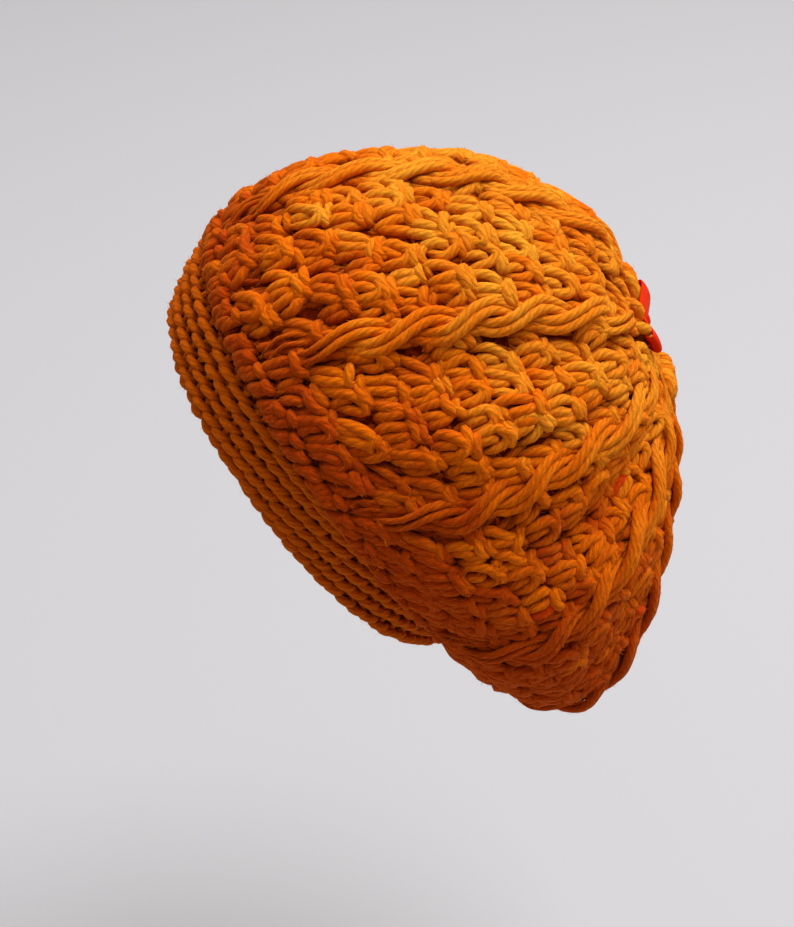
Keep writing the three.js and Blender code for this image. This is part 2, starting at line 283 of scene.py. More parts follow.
class YarnPiece:  # collects tubes and makes one mesh of them

    def __init__(self, fuzz=None, seenFromInside=False):
        self.points, self.faces, self.maps, self.tints, self.count = [], [], [], [], 0
        self.fuzz, self.seenFromInside = fuzz, seenFromInside

    def add(self, line, radius, tint, sides=None, plump=0.0):
        sides = sides or yarn["sides"]
        n = len(line)
        tangent = unit(np.gradient(line, axis=0))
        side = unit(np.cross(tangent, np.array([0.31, 0.52, 0.79])))
        for k in range(1, n):  # carry the frame along, so the plies don't jump
            side[k] = side[k - 1] - tangent[k] * (side[k - 1] @ tangent[k])
            side[k] /= max(np.linalg.norm(side[k]), 1e-9)
        lift = np.cross(tangent, side)
        share = np.linspace(0, 1, n)
        ends = np.minimum(1, yarn["taperedEnd"] + 3.0 * np.minimum(share, 1 - share))
        swell = radius * (1 + plump * np.sin(np.pi * share)) * ends
        swell = swell * (1 + random.normal(0, yarn["unevenness"], n))
        angle = np.linspace(0, 2 * np.pi, sides, endpoint=False)
        spoke = side[:, None] * np.cos(angle)[None, :, None] + lift[:, None] * np.sin(angle)[None, :, None]
        ring = line[:, None] + swell[:, None, None] * spoke
        i, j = np.meshgrid(np.arange(n - 1), np.arange(sides), indexing="ij")
        k = (j + 1) % sides
        travelled = np.concatenate([[0], np.cumsum(np.linalg.norm(np.diff(line, axis=0), axis=1))])
        along = travelled / yarn["plyPitch"] + random.random()
        u = np.stack([along[i], along[i], along[i + 1], along[i + 1]], -1).reshape(-1)
        v = np.stack([j / sides, (j + 1) / sides, (j + 1) / sides, j / sides], -1).reshape(-1)
        self.points.append(ring.reshape(-1, 3))
        self.faces.append(quadsBetween(i, j, k, sides) + self.count)
        self.maps.append(np.stack([u, v], -1))
        self.tints.append(np.full(n * sides, tint))
        self.count += n * sides
        if self.fuzz:
            for _ in range(random.poisson(travelled[-1] * yarn["fuzzPerMetre"])):
                a, b = random.integers(1, n - 1), random.integers(sides)
                fuzzSeeds[self.fuzz].append((ring[a, b], spoke[a, b], tangent[a]))

    def build(self, name, material, node):
        points, faces = np.concatenate(self.points), np.concatenate(self.faces)
        piece = meshFrom(name, points, faces, material)
        uvMap = piece.data.uv_layers.new(name="UVMap")
        uvMap.data.foreach_set("uv", np.concatenate(self.maps).astype(np.float32).ravel())
        tint = piece.data.attributes.new("tint", "FLOAT", "POINT")
        tint.data.foreach_set("value", np.concatenate(self.tints).astype(np.float32))
        # heights below the outer face, which the wool's painted shade reads
        heights = heightAbove(points) * faceSign
        if self.seenFromInside:
            heights = -hatSizes["wall"] - heights
        height = piece.data.attributes.new("height", "FLOAT", "POINT")
        height.data.foreach_set("value", heights.astype(np.float32))
        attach(piece, "root")
        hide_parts(node)
        print(name, 2 * len(faces), "triangles")
        return piece


def meshFrom(name, points, faces, material):  # one mesh of quads
    mesh = bpy.data.meshes.new(name)
    mesh.vertices.add(len(points))
    mesh.vertices.foreach_set("co", points.astype(np.float32).ravel())
    mesh.loops.add(faces.size)
    mesh.loops.foreach_set("vertex_index", faces.astype(np.int32).ravel())
    mesh.polygons.add(len(faces))
    mesh.polygons.foreach_set("loop_start", np.arange(0, faces.size, 4, dtype=np.int32))
    mesh.polygons.foreach_set("use_smooth", np.ones(len(faces), bool))
    mesh.update(calc_edges=True)
    mesh.materials.append(material)
    piece = bpy.data.objects.new(name, mesh)
    bpy.context.collection.objects.link(piece)
    return piece


# wool: matte plied yarn, dyed unevenly, with painted shade that darkens it the deeper it lies in the fabric

wool = {
    "light": "#FFAC2A",        # golden orange where the dye took lightly, and where the painted light pales the top
    "middle": "#F47400",
    "deep": "#C44200",         # where the dye pooled, and where the painted shade deepens the underside
    "fleck": "#E84204",        # short red-orange stretches
    "fleckShare": 0.004,       # of the strands
    "grooveShade": "#9A2C00",       # painted shade between the plies, deep orange-red as where light passes through wool only
    "grooveShadeShare": 0.3,
    "shadow": "#862000",       # painted shade deep in the fabric
    "shadowShare": 0.78,
    "shadowFrom": -0.2 * mm,   # height where the painted shade starts to darken the wool, and where it is darkest
    "shadowTo": -3.7 * mm,
    "patchSize": 24 * mm,      # length of one dyed stretch across the fabric
    "patchShare": 0.6,         # how strongly the patches differ
    "paintedLightAt": 40 * mm,         # painted light and shade: the yarn pales from the underside to the back of the top, along 0.86 y + z
    "paintedShadeAt": -135 * mm,
    "paintedLightShift": 0.16,
    "paintedShadeShift": -0.46,
}


def woolMaterial(name, light, middle, deep):
    material, tree, shader = newMaterial(name)
    uv = addNode(tree, "ShaderNodeUVMap", uv_map="UVMap")
    place = addNode(tree, "ShaderNodeTexCoord")
    part = addNode(tree, "ShaderNodeSeparateXYZ", {0: uv.outputs[0]})
    # the plies wind round the yarn: phase = plies * (turns along + turns around)
    turns = addNode(tree, "ShaderNodeMath", {0: part.outputs["X"], 1: part.outputs["Y"]}, operation="ADD")
    phase = addNode(tree, "ShaderNodeMath", {0: turns.outputs[0]}, operation="MULTIPLY", in1=yarn["plies"])
    wobble = addNode(tree, "ShaderNodeTexNoise", {0: place.outputs["Object"]}, in2=1 / (3 * mm), in3=2.0)
    shaken = addNode(tree, "ShaderNodeMath", {0: wobble.outputs[0], 2: phase.outputs[0]},
                     operation="MULTIPLY_ADD", in1=0.9)
    saw = addNode(tree, "ShaderNodeMath", {0: shaken.outputs[0]}, operation="PINGPONG", in1=0.5)
    ply = addNode(tree, "ShaderNodeMapRange", {0: saw.outputs[0]}, interpolation_type="SMOOTHSTEP",
                  in1=0.0, in2=0.42, in3=0.0, in4=1.0)
    # single fibres run along each ply
    fibreLay = addNode(tree, "ShaderNodeCombineXYZ", {0: shaken.outputs[0], 1: part.outputs["X"]})
    stretch = addNode(tree, "ShaderNodeVectorMath", {0: fibreLay.outputs[0]}, operation="MULTIPLY")
    stretch.inputs[1].default_value = (5.0, 5.0, 1.0)
    fibre = addNode(tree, "ShaderNodeTexNoise", {0: stretch.outputs[0]}, in2=1.3, in3=4.0, in4=0.65)
    # dye: large patches, each stitch a little lighter or darker, and rare flecks
    patch = addNode(tree, "ShaderNodeTexNoise", {0: place.outputs["Object"]}, in3=2.0,
                    in2=1 / wool["patchSize"])
    half = 0.5 * wool["patchShare"]
    patchy = addNode(tree, "ShaderNodeMapRange", {0: patch.outputs[0]}, in3=0.5 - half, in4=0.5 + half)
    # painted light and shade: the dye is shifted paler towards the lit back of the top and deeper towards
    # the underside
    towardsBack = addNode(tree, "ShaderNodeVectorMath", {0: place.outputs["Object"]},
                          operation="DOT_PRODUCT")
    towardsBack.inputs[1].default_value = (0, 0.86, 1)
    paintedLightAndShade = addNode(tree, "ShaderNodeMapRange", {0: towardsBack.outputs["Value"]}, in1=wool["paintedShadeAt"],
                     in2=wool["paintedLightAt"], in3=wool["paintedShadeShift"], in4=wool["paintedLightShift"])
    tint = addNode(tree, "ShaderNodeAttribute", attribute_name="tint")
    shifted = addNode(tree, "ShaderNodeMath", {0: patchy.outputs[0], 1: paintedLightAndShade.outputs[0]}, operation="ADD")
    dye = addNode(tree, "ShaderNodeMath", {0: shifted.outputs[0], 1: tint.outputs["Fac"]}, operation="ADD")
    ramp = addNode(tree, "ShaderNodeValToRGB", {0: dye.outputs[0]})
    stops = ramp.color_ramp.elements
    stops[0].position, stops[0].color = 0.24, srgb(deep)
    stops[1].position, stops[1].color = 0.86, srgb(light)
    middleStop = stops.new(0.48)
    middleStop.color = srgb(middle)
    isFleck = addNode(tree, "ShaderNodeMath", {0: tint.outputs["Fac"]}, operation="GREATER_THAN", in1=0.6)
    dyed = addNode(tree, "ShaderNodeMix", {0: isFleck.outputs[0], 6: ramp.outputs[0]}, data_type="RGBA",
                   in7=srgb(wool["fleck"]))
    # painted shade darkens the grooves between plies to deep orange-red, and painted highlights and shade
    # streak the fibres
    depth = addNode(tree, "ShaderNodeMapRange", {0: ply.outputs[0]}, in3=wool["grooveShadeShare"], in4=0.0)
    grooveShaded = addNode(tree, "ShaderNodeMix", {0: depth.outputs[0], 6: dyed.outputs[2]}, data_type="RGBA",
                      in7=srgb(wool["grooveShade"]))
    # painted shade: the wool darkens towards the shadow colour the deeper it lies below the outer face
    height = addNode(tree, "ShaderNodeAttribute", attribute_name="height")
    sunk = addNode(tree, "ShaderNodeMapRange", {0: height.outputs["Fac"]}, in1=wool["shadowFrom"],
                   in2=wool["shadowTo"], in3=0.0, in4=wool["shadowShare"])
    shaded = addNode(tree, "ShaderNodeMix", {0: sunk.outputs[0], 6: grooveShaded.outputs[2]}, data_type="RGBA",
                     in7=srgb(wool["shadow"]))
    # painted highlights and shade along the fibres: the colour is multiplied up and down by the fibre noise
    streak = addNode(tree, "ShaderNodeMapRange", {0: fibre.outputs[0]},
                     in1=0.34, in2=0.66, in3=0.7, in4=1.18)
    coloured = addNode(tree, "ShaderNodeMix", {6: shaded.outputs[2], 7: streak.outputs[0]},
                       data_type="RGBA", blend_type="MULTIPLY", in0=1.0)
    tree.links.new(coloured.outputs[2], shader.inputs["Base Color"])
    relief = addNode(tree, "ShaderNodeMath", {0: fibre.outputs[0], 2: ply.outputs[0]},
                     operation="MULTIPLY_ADD", in1=2.0)
    bump = addNode(tree, "ShaderNodeBump", {"Height": relief.outputs[0]})
    bump.inputs["Strength"].default_value = 1.0
    bump.inputs["Distance"].default_value = 0.3 * mm
    tree.links.new(bump.outputs[0], shader.inputs["Normal"])
    shader.inputs["Roughness"].default_value = 0.9
    shader.inputs["Specular IOR Level"].default_value = 0.06
    shader.inputs["Sheen Weight"].default_value = 0.3
    shader.inputs["Sheen Roughness"].default_value = 0.5
    shader.inputs["Sheen Tint"].default_value = srgb("#FFA838")
    return material


bodyWool = woolMaterial("plied wool, variegated orange", wool["light"], wool["middle"], wool["deep"])
brimWool = woolMaterial("plied wool, deep orange", "#FF8A00", "#F27200", "#E06400")


def tintOf(paintedShadeDrop=0.0):  # how light one stitch is: random dye, made darker by the painted shade given to strands that lie deep or under others
    return random.normal(0, 0.05) - paintedShadeDrop


# ground: the wall of fabric behind the stitches, seen in the gaps, its outer face coloured dark red-brown
# as painted shade

ground = {
    "outerInset": 3.2 * mm,    # below the outer face
    "lump": 0.9 * mm,          # how uneven it is
    "columns": 200,
    "bodyRounds": 70,
    "brimRounds": 18,
}


def groundMaterial(name, deep, pale):
    material, tree, shader = newMaterial(name)
    place = addNode(tree, "ShaderNodeTexCoord")
    noise = addNode(tree, "ShaderNodeTexNoise", {0: place.outputs["Object"]}, in2=1 / (2.5 * mm), in3=3.0)
    ramp = addNode(tree, "ShaderNodeValToRGB", {0: noise.outputs[0]})
    ramp.color_ramp.elements[0].position, ramp.color_ramp.elements[0].color = 0.35, srgb(deep)
    ramp.color_ramp.elements[1].position, ramp.color_ramp.elements[1].color = 0.7, srgb(pale)
    tree.links.new(ramp.outputs[0], shader.inputs["Base Color"])
    bump = addNode(tree, "ShaderNodeBump", {"Height": noise.outputs[0]})
    bump.inputs["Distance"].default_value = 1.0 * mm
    tree.links.new(bump.outputs[0], shader.inputs["Normal"])
    shader.inputs["Roughness"].default_value = 0.95
    shader.inputs["Specular IOR Level"].default_value = 0.05
    return material


def shell(name, outer, inner, capped, node, materials):  # rings of points joined into a closed wall
    rings = np.array(outer + inner)
    sides = rings.shape[1]
    points = rings.reshape(-1, 3)
    j = np.arange(sides)
    faces = []
    for i in range(len(rings) - 1 if capped else len(rings)):
        below, above = i * sides, (i + 1) % len(rings) * sides
        faces.append(np.stack([j + below, (j + 1) % sides + below, (j + 1) % sides + above, j + above], -1))
    faces = np.concatenate(faces).tolist()
    if capped:  # the gathered middle of the crown, outside and inside
        faces.append(list(range(sides))[::-1])
        faces.append([(len(rings) - 1) * sides + k for k in range(sides)])
    mesh = bpy.data.meshes.new(name)
    mesh.from_pydata(points.tolist(), [], faces)
    for material in materials:
        mesh.materials.append(material)
    for face in mesh.polygons:
        face.material_index = int(min(face.vertices) >= (len(outer) - 1) * sides)
    piece = bpy.data.objects.new(name, mesh)
    bpy.context.collection.objects.link(piece)
    bpy.ops.object.select_all(action="DESELECT")
    piece.select_set(True)
    bpy.context.view_layer.objects.active = piece
    bpy.ops.object.mode_set(mode="EDIT")
    bpy.ops.mesh.select_all(action="SELECT")
    bpy.ops.mesh.normals_make_consistent(inside=False)
    bpy.ops.object.mode_set(mode="OBJECT")
    bpy.ops.object.shade_smooth_by_angle(angle=math.radians(60))
    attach(piece, "root")
    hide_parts(node)


def makeGround():
    # painted shade: the outer face of the ground is dark red-brown where the gaps between stitches fall in
    # shade
    materials = [groundMaterial("wool fabric between the stitches, painted red-brown shade", "#4C0E00", "#7E2400"),
                 groundMaterial("wool fabric seen from the inside, orange", "#9A3C00", "#D06400")]
    column = np.linspace(0, 1, ground["columns"], endpoint=False)
    flat = np.ones_like(column)

    def uneven():
        return -ground["outerInset"] - ground["lump"] * random.random(ground["columns"])

    rounds = np.linspace(1, 0, ground["bodyRounds"]) * 0.985
    outer = [onBody(r * flat, column, uneven()) for r in rounds]
    inner = [onBody(r * flat * 0.975, column, -hatSizes["wall"] * flat) for r in rounds[::-2]]
    shell("body_ground", outer, inner, True, "slouch_body", materials)
    rounds = np.linspace(0.03, 1, ground["brimRounds"])
    outer = [onBrim(r * flat, column, uneven()) for r in rounds]
    inner = [onBrim(r * flat, column, -hatSizes["wall"] * flat) for r in rounds[::-1]]
    shell("brim_ground", outer, inner, False, "brim_band", materials)


makeGround()
print("ground ready")


# brim: six rope-like rounds of slanted strands with short posts between them

brim = {
    "ridges": 6,
    "stitchWidth": 8.4 * mm,
    "strandRadius": 1.85 * mm,
    "strandOverlap": 1.9,      # length of a strand in stitch widths
    "slant": 3.4 * mm,         # from side to side of the ridge
    "crest": -0.5 * mm,        # middle of a strand at its highest, from the outer face
    "valley": -3.6 * mm,
    "postRadius": 1.6 * mm,    # short posts from one ridge to the next
    "postDepth": 3.9 * mm,     # of their ends, below the outer face
    "postArch": 1.5 * mm,
}


def makeBrim():
    rope = YarnPiece("brim")
    around = lengthOf(onBrim(np.full(200, 0.5), np.linspace(0, 1, 200), np.zeros(200)))
    stitches = int(round(around / brim["stitchWidth"]))
    depth = lengthOf(brimNet[:, 60])
    pitch = 1 / brim["ridges"]
    for ridge in range(brim["ridges"]):
        middle = (ridge + 0.5) * pitch
        shift = random.random()
        for s in range(stitches):
            tint = tintOf()
            t = np.linspace(-0.5, 0.5, 13)
            column = (s + shift + t * brim["strandOverlap"] + random.normal(0, 0.05)) / stitches
            across = (t * brim["slant"] + random.normal(0, 0.25 * mm)) / depth
            rise = (brim["crest"] - brim["valley"]) * np.cos(np.pi * t) ** 0.9
            lift = brim["valley"] + rise + random.normal(0, 0.2 * mm)
            line = onBrim(middle + across, column, lift)
            rope.add(evenly(line, 11), brim["strandRadius"] * random.normal(1, 0.05), tint, plump=0.15)
            # the post below, from this ridge to the next
            u = np.linspace(0, 1, 7)
            column = (s + shift + 0.2 + 0.3 * u + random.normal(0, 0.06)) / stitches
            lift = brim["postArch"] * np.sin(np.pi * u) - brim["postDepth"]
            line = onBrim(np.clip(middle + (u - 0.1) * pitch * 1.2, 0, 1), column, lift)
            # painted shade: the post below the ridge is darker
            rope.add(line, brim["postRadius"], tint - 0.15, sides=6)
    rope.build("brim_rounds", brimWool, "brim_band")


makeBrim()


# body: rounds of plump looped stitches in the panels between the cables

stitch = {
    "width": 12.4 * mm,        # across one looped stitch
    "length": 17.0 * mm,       # from one round of loops to the next
    "radius": 2.05 * mm,
    "plump": 0.3,              # how much thicker a strand is in its middle
    "strayAlong": 1.0 * mm,    # how far a stitch strays from its place
    "strayAcross": 0.8 * mm,
    "lean": 0.2,               # spread of the slant, in radians
    "loose": 0.045,            # how far each point of a strand strays, in stitch sizes
    "sway": 0.07,              # how far a strand slants of its own
    "unevenHeight": 0.35 * mm,
    "endDip": 1.1 * mm,        # how much deeper the ends of a strand go into the fabric
    "edgeDip": 0.9 * mm,       # how much deeper the stitches beside a cable lie
    "underRadius": 1.7 * mm,   # strands that lie under the loops
    "underDepth": 4.9 * mm,
    "underArch": 1.5 * mm,
    "cableRoom": 12 * mm,      # kept free for a cable
}

post = {
    "length": 16 * mm,         # above the brim
    "spacing": 7.8 * mm,
    "radius": 1.95 * mm,
    "depth": 4.8 * mm,         # of its ends, below the outer face
    "arch": 4.1,               # in mm, how far its middle rises from there
    "hookRadius": 1.8 * mm,    # the turn of yarn over its upper end
    "hookArch": 4.2 * mm,
    "deepRadius": 1.6 * mm,    # the turn of yarn beside it
    "deepArch": 1.0 * mm,
    "turnDepth": 4.6 * mm,     # of the ends of both turns
}

# strands of one stitch: along (of its length), across (of its width), height in mm
loopPath = np.array([
    [-0.24, -0.14, -4.6], [0.00, -0.31, -2.6], [0.32, -0.37, -1.4], [0.62, -0.28, -1.0], [0.78, 0.00, -0.8],
    [0.66, 0.28, -1.2], [0.38, 0.34, -1.9], [0.08, 0.27, -3.1], [-0.16, 0.16, -4.8],
])
innerPath = np.array([[-0.14, 0.02, -4.4], [0.08, -0.02, -2.7], [0.32, -0.03, -1.9], [0.54, 0.02, -2.3],
                      [0.68, 0.04, -4.0]])
hookPath = np.array([[1.02, -0.48, -4.4], [0.88, -0.38, -2.2], [0.80, -0.14, -0.7], [0.80, 0.12, -0.7],
                     [0.86, 0.34, -2.0], [0.98, 0.46, -4.2]])
backHookPath = np.array([[1.16, -0.36, -4.6], [1.02, -0.30, -2.7], [0.96, -0.08, -1.5], [0.97, 0.16, -1.6],
                         [1.04, 0.36, -3.0], [1.12, 0.44, -4.6]])
upperLegPath = np.array([[-0.22, -0.22, -4.4], [0.02, -0.31, -2.4], [0.30, -0.35, -1.3],
                         [0.58, -0.28, -1.1], [0.80, -0.14, -2.4], [0.88, -0.06, -4.2]])
middleLegPath = np.array([[-0.16, 0.06, -4.4], [0.06, 0.02, -2.5], [0.32, 0.03, -1.4], [0.58, 0.06, -1.3],
                          [0.80, 0.10, -2.8], [0.86, 0.14, -4.4]])
lowerLegPath = np.array([[-0.10, 0.34, -4.6], [0.12, 0.35, -3.0], [0.38, 0.39, -1.9], [0.62, 0.36, -1.9],
                         [0.80, 0.28, -3.2], [0.88, 0.24, -4.6]])
loopStitch = ((loopPath, 20), (innerPath, 8), (hookPath, 10), (backHookPath, 9))
postStitch = ((upperLegPath, 10), (middleLegPath, 10), (lowerLegPath, 10), (hookPath, 10),
              (backHookPath, 9))


def layStitch(piece, strands, around, column, alongShare, acrossShare, size, sunk):
    lean = random.normal(0.05, stitch["lean"])
    lift = random.normal(0, stitch["unevenHeight"]) - sunk
    tint = tintOf()
    for path, steps in strands:
        a = path[:, 0] + random.normal(0, stitch["loose"], len(path))
        c = path[:, 1] + random.normal(0, stitch["loose"], len(path))
        c = c + random.normal(0, stitch["sway"]) * (a - 0.4) * 3
        h = path[:, 2] * mm + lift + random.normal(0, 0.3 * mm)
        h[[0, -1]] -= stitch["endDip"]
        turned = np.cos(lean) * a - np.sin(lean) * c * 0.65
        aside = np.sin(lean) * a * 1.5 + np.cos(lean) * c
        line = onBody(np.clip(around + turned * alongShare, 0, 0.99), column + aside * acrossShare, h)
        piece.add(smoothRun(line, steps), stitch["radius"] * size * random.normal(1, 0.06),
                  0.9 if random.random() < wool["fleckShare"] else tint + random.normal(0, 0.03), sides=7,
                  plump=stitch["plump"])


def widthBetween(around, left, right):
    points = onBody(np.full(30, around), np.linspace(left, right, 30), np.zeros(30))
    return lengthOf(points)


def makePosts(piece, left, total):  # upright posts from the brim to the first loops, each with a hooked end
    share = 1 / hatSizes["cables"]
    posts = int(round(widthBetween(0.04, left, left + share) / post["spacing"]))
    reach = post["length"] / total
    for k in range(posts):
        column = left + (k + 0.5 + random.normal(0, 0.1)) / posts * share
        # painted shade: the posts by the brim are a little darker
        tint = tintOf(0.02)
        for aside, sunk in ((-0.14, 0.0), (0.2, 0.5 * mm)):
            u = np.linspace(0, 1, 10)
            along = (u * (1.12 + random.normal(0, 0.12)) - 0.1) * reach
            lean = (aside + (0.4 + random.normal(0, 0.12)) * (u - 0.4)) / posts * share
            risen = np.sin(np.pi * np.clip((u - 0.14) / 0.86, 0, 1)) ** 0.7
            lift = (post["arch"] + random.normal(0, 0.3)) * risen * mm - post["depth"] - sunk
            line = onBody(np.clip(along, 0, 1), column + lean, lift)
            piece.add(evenly(line, 10), post["radius"] * random.normal(1, 0.05), tint, sides=7, plump=0.25)
        u = np.linspace(0, 1, 7)
        along = (0.86 + 0.1 * u + random.normal(0, 0.14)) * reach
        lean = (u - 0.35 + random.normal(0, 0.1)) * 1.15 / posts * share
        lift = post["hookArch"] * np.sin(np.pi * u) - post["turnDepth"]
        hook = evenly(onBody(along, column + lean, lift), 8)
        piece.add(hook, post["hookRadius"], tint, sides=7, plump=0.3)
        # the deep turn of yarn beside the post
        u = np.linspace(0, 1, 6)
        lean = (0.5 + 0.3 * (u - 0.5)) / posts * share
        lift = post["deepArch"] * np.sin(np.pi * u) - post["turnDepth"]
        deep = onBody(0.75 * u * reach, column + lean, lift)
        # painted shade: the deep turn is darker
        piece.add(deep, post["deepRadius"], tint - 0.1, sides=6)


def makePanel(panel):
    piece = YarnPiece("body")
    share = 1 / hatSizes["cables"]
    left = hatSizes["firstCable"] + panel * share
    total = lengthOf(onBody(np.linspace(0, 1, 120), np.full(120, left + share / 2), np.zeros(120)))
    firstRound = 0.98 * post["length"] / total
    rounds = int(round((1 - firstRound) * total / stitch["length"]))
    roundShare = (1 - firstRound) / rounds
    makePosts(piece, left, total)
    for r in range(rounds):
        around = firstRound + r * roundShare
        pitch = widthBetween(around + 0.4 * roundShare, left, left + share)
        room = pitch - min(stitch["cableRoom"], 0.45 * pitch)
        count = max(1, int(round(room / stitch["width"])))
        width = room / count
        size = min(1.0, 0.6 + 0.4 * width / stitch["width"])
        for k in range(count):
            shift = (0.22 if r % 2 else -0.22) * (count > 2)  # every other round is shifted
            across = ((pitch - room) / 2 + (k + 0.5 + shift) * width) / pitch
            across += random.normal(0, stitch["strayAcross"]) / pitch
            start = around + random.normal(0, stitch["strayAlong"]) / total
            u = np.linspace(0, 1, 6)
            slope = random.choice([-1, 1])
            for aside in (-0.25, 0.25):
                column = left + (across + (aside + slope * 0.5 * (u - 0.5)) * width / pitch) * share
                under = onBody(np.clip(start + (0.1 + 1.0 * u) * roundShare, 0, 0.99), column,
                               stitch["underArch"] * np.sin(np.pi * u) - stitch["underDepth"])
                # painted shade: the strands under the loops are darker
                piece.add(under, stitch["underRadius"], tintOf(0.1), sides=6)
            strands = loopStitch if random.random() < 0.6 else postStitch
            edge = k in (0, count - 1)
            layStitch(piece, strands, start, left + across * share, roundShare * 1.06,
                      width / pitch * share * 1.08, size, stitch["edgeDip"] if edge else 0)
    piece.build(f"body_panel_{panel + 1}", bodyWool, "slouch_body")


for panel in range(hatSizes["cables"]):
    makePanel(panel)


# crown: the last round is drawn together by a few turns of yarn

crown = {
    "innerGathers": 14,
    "outerGathers": 20,
    "innerRadius": 1.7 * mm,
    "outerRadius": 2.2 * mm,
    "bowRoom": 0.85,           # gathers whose sine round the crown is larger make room for the bow
}


def makeCrown():
    piece = YarnPiece("body")
    u = np.linspace(0, 1, 8)
    for k in range(crown["innerGathers"]):
        column = (k + random.normal(0, 0.15) + 0.25 * u) / crown["innerGathers"]
        line = onBody(0.93 + 0.075 * u, column, (-3.4 + 2.6 * np.sin(np.pi * u) - 1.5 * u) * mm)
        # painted shade: the inner gathers lie deep and are darker
        piece.add(evenly(line, 8), crown["innerRadius"], tintOf(0.05), sides=7, plump=0.2)
    for k in range(crown["outerGathers"]):
        if abs(np.sin(2 * np.pi * (k + 0.5) / crown["outerGathers"])) > crown["bowRoom"]:
            continue
        column = (k + 0.5 + 0.5 * (u - 0.5)) / crown["outerGathers"] + random.normal(0, 0.004)
        lift = (-2.5 + (4.2 + random.normal(0, 0.5)) * np.sin(np.pi * u)) * mm
        piece.add(evenly(onBody(0.885 + 0.07 * u, column, lift), 8), crown["outerRadius"], tintOf(),
                  sides=7, plump=0.3)
    for column in (0.02, 0.1, 0.18, 0.25, 0.33, 0.42):  # across the last gap
        ends = onBody(np.full(2, 0.975), np.array([column, column + 0.5]), np.full(2, -2 * mm))
        out = netFrame(bodyNet, np.full(2, 0.975), np.array([column, column + 0.5]))[2].mean(0)
        t = u[:, None]
        line = ends[0] * (1 - t) + ends[1] * t + unit(out) * 0.8 * mm * np.sin(np.pi * t)
        # painted shade: the strands across the last gap are darker
        piece.add(line, 1.9 * mm, tintOf(0.05), sides=7)
    for around, lift in ((0.985, -1.6), (0.965, -2.4)):
        turn = np.linspace(0, 1.02, 26)
        line = onBody(np.full(26, around), turn, (lift + 0.5 * np.sin(turn * 40)) * mm)
        # painted shade: the turns round the gap are darker
        piece.add(line, 1.5 * mm, tintOf(0.1), sides=7)
    piece.build("crown_gathers", bodyWool, "slouch_body")


makeCrown()


# inside: bars and slanted turns of yarn on the wrong side of the fabric

inside = {
    "bodyRounds": 15,
    "spacing": 9.5 * mm,
    "radius": 1.6 * mm,
    "lift": -4.3 * mm,         # from the outer face
    "arch": -0.8 * mm,
    "barLength": 1.35,         # of the bars along a round, in stitch widths
    "turnLift": 0.7 * mm,      # how much nearer to the outer face the slanted turns lie
}


def makeInside(name, point, rounds, material, node):
    piece = YarnPiece(seenFromInside=True)
    step = rounds[1] - rounds[0]
    for around in rounds:
        ring = point(np.full(120, around), np.linspace(0, 1, 120), np.full(120, inside["lift"]))
        count = max(6, int(round(lengthOf(ring) / inside["spacing"])))
        shift = random.random()
        for k in range(count):
            t = np.linspace(-0.5, 0.5, 6)
            lift = inside["lift"] + inside["arch"] * np.cos(np.pi * t)
            column = (k + shift + t * inside["barLength"] + random.normal(0, 0.06)) / count
            along = around + 0.012 * t + random.normal(0, 0.003)
            bar = point(np.clip(along, 0, 0.99), column, lift)
            piece.add(bar, inside["radius"], tintOf(), sides=5, plump=0.2)
            column = (k + shift + 0.4 + random.choice([-0.5, 0.5]) * t + random.normal(0, 0.08)) / count
            along = around + (0.5 + 1.1 * t) * step
            turn = point(np.clip(along, 0, 0.99), column, lift + inside["turnLift"])
            # painted shade: the slanted turns, deeper as seen from inside, are darker
            piece.add(turn, inside["radius"], tintOf(0.05), sides=5, plump=0.3)
    piece.build(name, material, node)


makeInside("inside_of_body", onBody, np.linspace(0.02, 0.94, inside["bodyRounds"]), bodyWool,
           "slouch_body")
makeInside("inside_of_brim", onBrim, np.linspace(0.08, 0.92, brim["ridges"]), brimWool,
           "brim_band")


# cables: two bundles of yarn that cross on the outer face

cable = {
    "width": 18.5 * mm,
    "rise": 2.5 * mm,          # up and down from the middle height as the bundles cross
    "middle": -0.5 * mm,       # middle height of the strands, from the outer face
    "crossing": 28 * mm,
    "start": 0.07,
    "end": 0.965,
    "yarnRadius": 2.35 * mm,
    "dive": 4 * mm,            # how deep a cable starts under the fabric at the brim
    "endDip": 2.2 * mm,        # how much lower it lies where it narrows
    "steps": 110,              # places along it where its width is worked out
    "underRadius": 1.9 * mm,   # short strands under the eyes of the twist
    "underDepth": 4.4 * mm,
    "underArch": 1.9 * mm,
}


